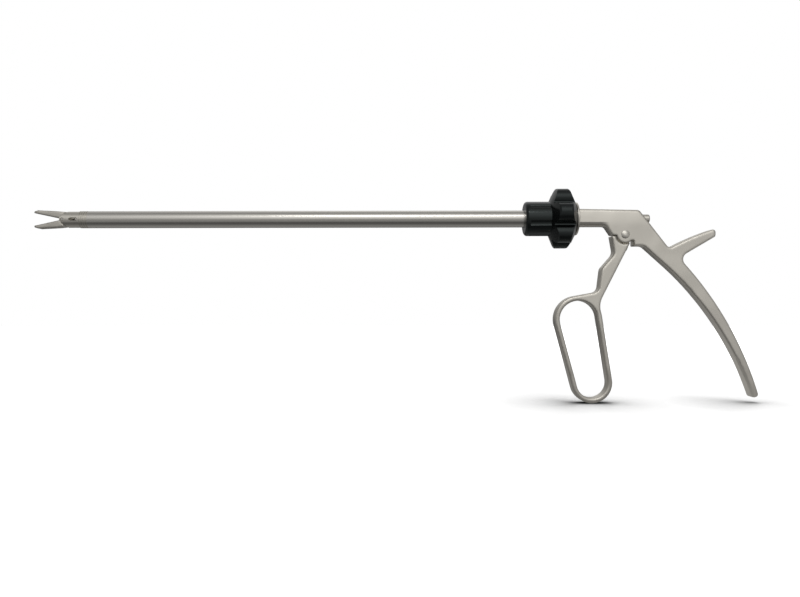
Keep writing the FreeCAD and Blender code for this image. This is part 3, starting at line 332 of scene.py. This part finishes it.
moulded = Finish("black_moulded_plastic")
waviness = moulded.noise(WAVE_SCALE, detail=2.0, roughness=0.5)
speckle = moulded.noise(SPECKLE_SCALE, detail=2.0, roughness=0.6)
spark_eroded = moulded.bumps(speckle, SPECKLE_HEIGHT, strength=0.4)
moulded.surface(
    Base_Color=moulded.between(waviness, KNOB_BLACK, KNOB_WORN),
    Roughness=0.10 + speckle * 0.05 + waviness * 0.04,
    IOR=1.48,
    Specular_IOR_Level=0.38,
    Specular_Tint=KNOB_GLOSS_TINT,
    Normal=moulded.bumps(waviness, WAVE_HEIGHT, strength=0.25, below=spark_eroded),
)
moulded.clad("rotation_knob")


# Guides, washers and the seal inside, which nothing shows from outside. The
# guides and washers are white sliding plastic, the seal is black rubber.
GUIDE_PALE = (0.82, 0.81, 0.77)
GUIDE_DEEP = (0.74, 0.73, 0.69)
RUBBER_DARK = (0.02, 0.02, 0.02)
RUBBER_GREY = (0.045, 0.045, 0.045)
GUIDE_CLOUD_SCALE = 300.0
BLOOM_SCALE = 900.0

guide = Finish("white_sliding_plastic")
guide_cloud = guide.noise(GUIDE_CLOUD_SCALE, detail=3.0, roughness=0.5)
guide.surface(
    Base_Color=guide.between(guide_cloud, GUIDE_DEEP, GUIDE_PALE),
    Roughness=0.45 + guide_cloud * 0.1,
)
guide.clad("rod_guide_front", "rod_guide_rear", "seal_washer", "thrust_washer")

rubber = Finish("seal_rubber")
bloom = rubber.noise(BLOOM_SCALE, detail=3.0, roughness=0.5)
rubber.surface(
    Base_Color=rubber.between(bloom, RUBBER_DARK, RUBBER_GREY),
    Roughness=0.6 + bloom * 0.15,
)
rubber.clad("rod_seal")


# Floor: a white sweep on which the instrument stands with its finger loop, with a painted
# contact shadow near it.
# To glossy rays the floor is a glow instead, a painted reflection: white with darker strips in
# front of and behind the shaft and brighter towards the handle, which give the steel its
# edges.
FLOOR_GAP = 0.0002
FLOOR_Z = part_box("trigger")[0].z - FLOOR_GAP
FLOOR_HALF = 1.2
PAINTED_SHADOW_BLACK = (0.0, 0.0, 0.0)
FLOOR_WHITE = (0.8, 0.8, 0.8)
PAINTED_SHADOW_REACH = 0.045
PAINTED_SHADOW_DEPTH = 3.2
PAINTED_SHADOW_SAMPLES = 16
NEAR_LIFT = 0.36
FADE_FROM = 0.16
FADE_TO = 0.55
HANDLE_FROM = 0.04
HANDLE_TO = 0.16
HANDLE_GLOW = 1.7
GLOW_FROM = -0.50
GLOW_TO = 0.50
PAINTED_REFLECTION_STOPS = [
    (0.00, (0.34, 0.34, 0.34)),
    (0.28, (0.34, 0.34, 0.34)),
    (0.35, (0.27, 0.27, 0.27)),
    (0.39, (0.12, 0.12, 0.12)),
    (0.45, (0.12, 0.12, 0.12)),
    (0.53, (0.32, 0.32, 0.32)),
    (0.60, (0.32, 0.32, 0.32)),
    (0.72, (0.12, 0.12, 0.12)),
]

floor_mesh = bmesh.new()
bmesh.ops.create_grid(floor_mesh, x_segments=1, y_segments=1, size=FLOOR_HALF)
bmesh.ops.translate(floor_mesh, verts=floor_mesh.verts, vec=(0, 0, FLOOR_Z))
floor_data = bpy.data.meshes.new("floor")
floor_mesh.to_mesh(floor_data)
floor_mesh.free()
floor = bpy.data.objects.new("floor", floor_data)
bpy.context.scene.collection.objects.link(floor)

sweep = Finish("white_sweep")
# Painted shadow: ambient occlusion darkens the floor's colour towards black near the
# instrument and dims its white lift there too. This is a painted contact shadow under the
# finger loop and the handle's end.
painted_shadow_occlusion = sweep.node(
    "ShaderNodeAmbientOcclusion", {"samples": PAINTED_SHADOW_SAMPLES}, "AO", Distance=PAINTED_SHADOW_REACH
)
painted_contact_shadow = painted_shadow_occlusion ** PAINTED_SHADOW_DEPTH
sweep.surface(
    Base_Color=sweep.between(painted_contact_shadow, PAINTED_SHADOW_BLACK, FLOOR_WHITE),
    Roughness=0.9,
    Specular_IOR_Level=0.0,
)
paths = sweep.tree.nodes.new("ShaderNodeLightPath")
seen_by_camera = Signal(sweep.tree, paths.outputs["Is Camera Ray"])
seen_in_gloss = Signal(sweep.tree, paths.outputs["Is Glossy Ray"])
seen_in_gloss = seen_in_gloss + Signal(sweep.tree, paths.outputs["Is Transmission Ray"])
depth = sweep.node("ShaderNodeSeparateXYZ", output="Y", Vector=sweep.place)
# Painted reflection: the glow that glossy rays see on the floor, darker in strips in front of
# and behind the shaft.
painted_reflection_colour = sweep.node(
    "ShaderNodeValToRGB",
    {"stops": PAINTED_REFLECTION_STOPS},
    Fac=(depth - GLOW_FROM) * (1 / (GLOW_TO - GLOW_FROM)),
)
reach = sweep.node("ShaderNodeVectorMath", {"operation": "LENGTH"}, 1, Vector=sweep.place)
fade = sweep.node(
    "ShaderNodeMapRange",
    {"interpolation_type": "SMOOTHSTEP"},
    Value=reach,
    From_Min=FADE_FROM,
    From_Max=FADE_TO,
    To_Min=NEAR_LIFT,
    To_Max=1.0,
)
lift = sweep.node("ShaderNodeEmission", Strength=seen_by_camera * fade * painted_contact_shadow)
lit = sweep.tree.nodes.new("ShaderNodeAddShader")
sweep.tree.links.new(sweep.shader.outputs[0], lit.inputs[0])
sweep.tree.links.new(lift.socket, lit.inputs[1])
across = sweep.node("ShaderNodeSeparateXYZ", output="X", Vector=sweep.place)
# Painted reflection: the floor glows brighter towards the handle in glossy rays.
towards_handle = sweep.node(
    "ShaderNodeMapRange",
    {"interpolation_type": "SMOOTHSTEP"},
    Value=across,
    From_Min=HANDLE_FROM,
    From_Max=HANDLE_TO,
    To_Min=1.0,
    To_Max=HANDLE_GLOW,
)
painted_reflection = sweep.node("ShaderNodeEmission", Color=painted_reflection_colour, Strength=towards_handle)
choice = sweep.tree.nodes.new("ShaderNodeMixShader")
sweep.put(choice.inputs[0], seen_in_gloss)
sweep.tree.links.new(lit.outputs[0], choice.inputs[1])
sweep.tree.links.new(painted_reflection.socket, choice.inputs[2])
sweep.tree.links.new(choice.outputs[0], sweep.tree.nodes["Material Output"].inputs[0])
floor_data.materials.append(sweep.material)


# Studio: a white room. A wide soft box hangs above in front and a dimmer one
# above behind, and the wall straight behind is a little darker than the rest.
ROOM_LEVEL = 0.34
FRONT_LEVEL = 1.15
FRONT_TURN = 5
FRONT_RISE = 33
BACK_LEVEL = 0.7
BACK_RISE = 45
BEHIND_LEVEL = -0.22
BEHIND_TURN = 180
BOX_TIGHTNESS = 8.0
AMBIENT = 0.42

world = bpy.data.worlds.new("studio")
bpy.context.scene.world = world
world.use_nodes = True
sky = world.node_tree
back = sky.nodes["Background"]
direction = sky.nodes.new("ShaderNodeTexCoord").outputs["Generated"]


def soft_box(level, azimuth, elevation):
    """The light that comes from a broad soft box in this direction."""
    item = sky.nodes.new("ShaderNodeVectorMath")
    item.operation = "DOT_PRODUCT"
    sky.links.new(direction, item.inputs[0])
    way = Vector((0, -math.cos(math.radians(elevation)), math.sin(math.radians(elevation))))
    way.rotate(Matrix.Rotation(math.radians(azimuth), 3, "Z"))
    item.inputs[1].default_value = way
    facing = Signal(sky, item.outputs["Value"])
    return facing.at_least(0.0) ** BOX_TIGHTNESS * level


light_path = sky.nodes.new("ShaderNodeLightPath")
camera_ray = Signal(sky, light_path.outputs["Is Camera Ray"])
shown_ray = Signal(sky, light_path.outputs["Is Glossy Ray"])
shown_ray = shown_ray + Signal(sky, light_path.outputs["Is Transmission Ray"])
room = soft_box(FRONT_LEVEL, FRONT_TURN, FRONT_RISE) + ROOM_LEVEL
room = room + soft_box(BACK_LEVEL, BEHIND_TURN, BACK_RISE)
room = room + soft_box(BEHIND_LEVEL, BEHIND_TURN, 0)
others = 1.0 - camera_ray - shown_ray
strength = camera_ray + shown_ray * room + others * AMBIENT
sky.links.new(strength.socket, back.inputs["Strength"])
back.inputs["Color"].default_value = (1.0, 1.0, 1.0, 1)


def lamp(name, place, target, width, height, power):
    """An area lamp that points from its place to the target."""
    data = bpy.data.lights.new(name, "AREA")
    data.shape = "RECTANGLE"
    data.size = width
    data.size_y = height
    data.energy = power
    item = bpy.data.objects.new(name, data)
    item.location = place
    item.rotation_euler = (Vector(target) - Vector(place)).to_track_quat("-Z", "Y").to_euler()
    bpy.context.scene.collection.objects.link(item)
    return item


lamp(
    "key_box",
    place=(-0.06, -0.70, 0.62),
    target=(-0.06, 0.0, 0.0),
    width=0.42,
    height=0.13,
    power=0.72,
)
overhead = lamp(
    "overhead_box",
    place=(0.05, 0.05, 1.0),
    target=(0.05, 0.05, 0.0),
    width=0.2,
    height=1.2,
    power=6.6,
)
overhead.visible_glossy = False


# Camera: it looks level from the near side, at the middle of the instrument's
# length and a little below the shaft. Its focal length is in pixels of the
# photograph's frame, which is 800 wide.
FOCAL_PIXELS = 742.4
PHOTO_WIDTH = 800
SENSOR_WIDTH = 36.0
CAMERA_PLACE = Vector((-0.07316, -0.438, -0.04678))
CAMERA_ROLL = 0.1

camera_data = bpy.data.cameras.new("camera")
camera_data.sensor_width = SENSOR_WIDTH
camera_data.lens = FOCAL_PIXELS * SENSOR_WIDTH / PHOTO_WIDTH
camera_data.clip_start = 0.01
camera = bpy.data.objects.new("camera", camera_data)
camera.location = CAMERA_PLACE
camera.rotation_euler = (math.radians(90), math.radians(CAMERA_ROLL), 0)
bpy.context.scene.collection.objects.link(camera)
bpy.context.scene.camera = camera
bpy.context.scene.view_settings.view_transform = "Standard"
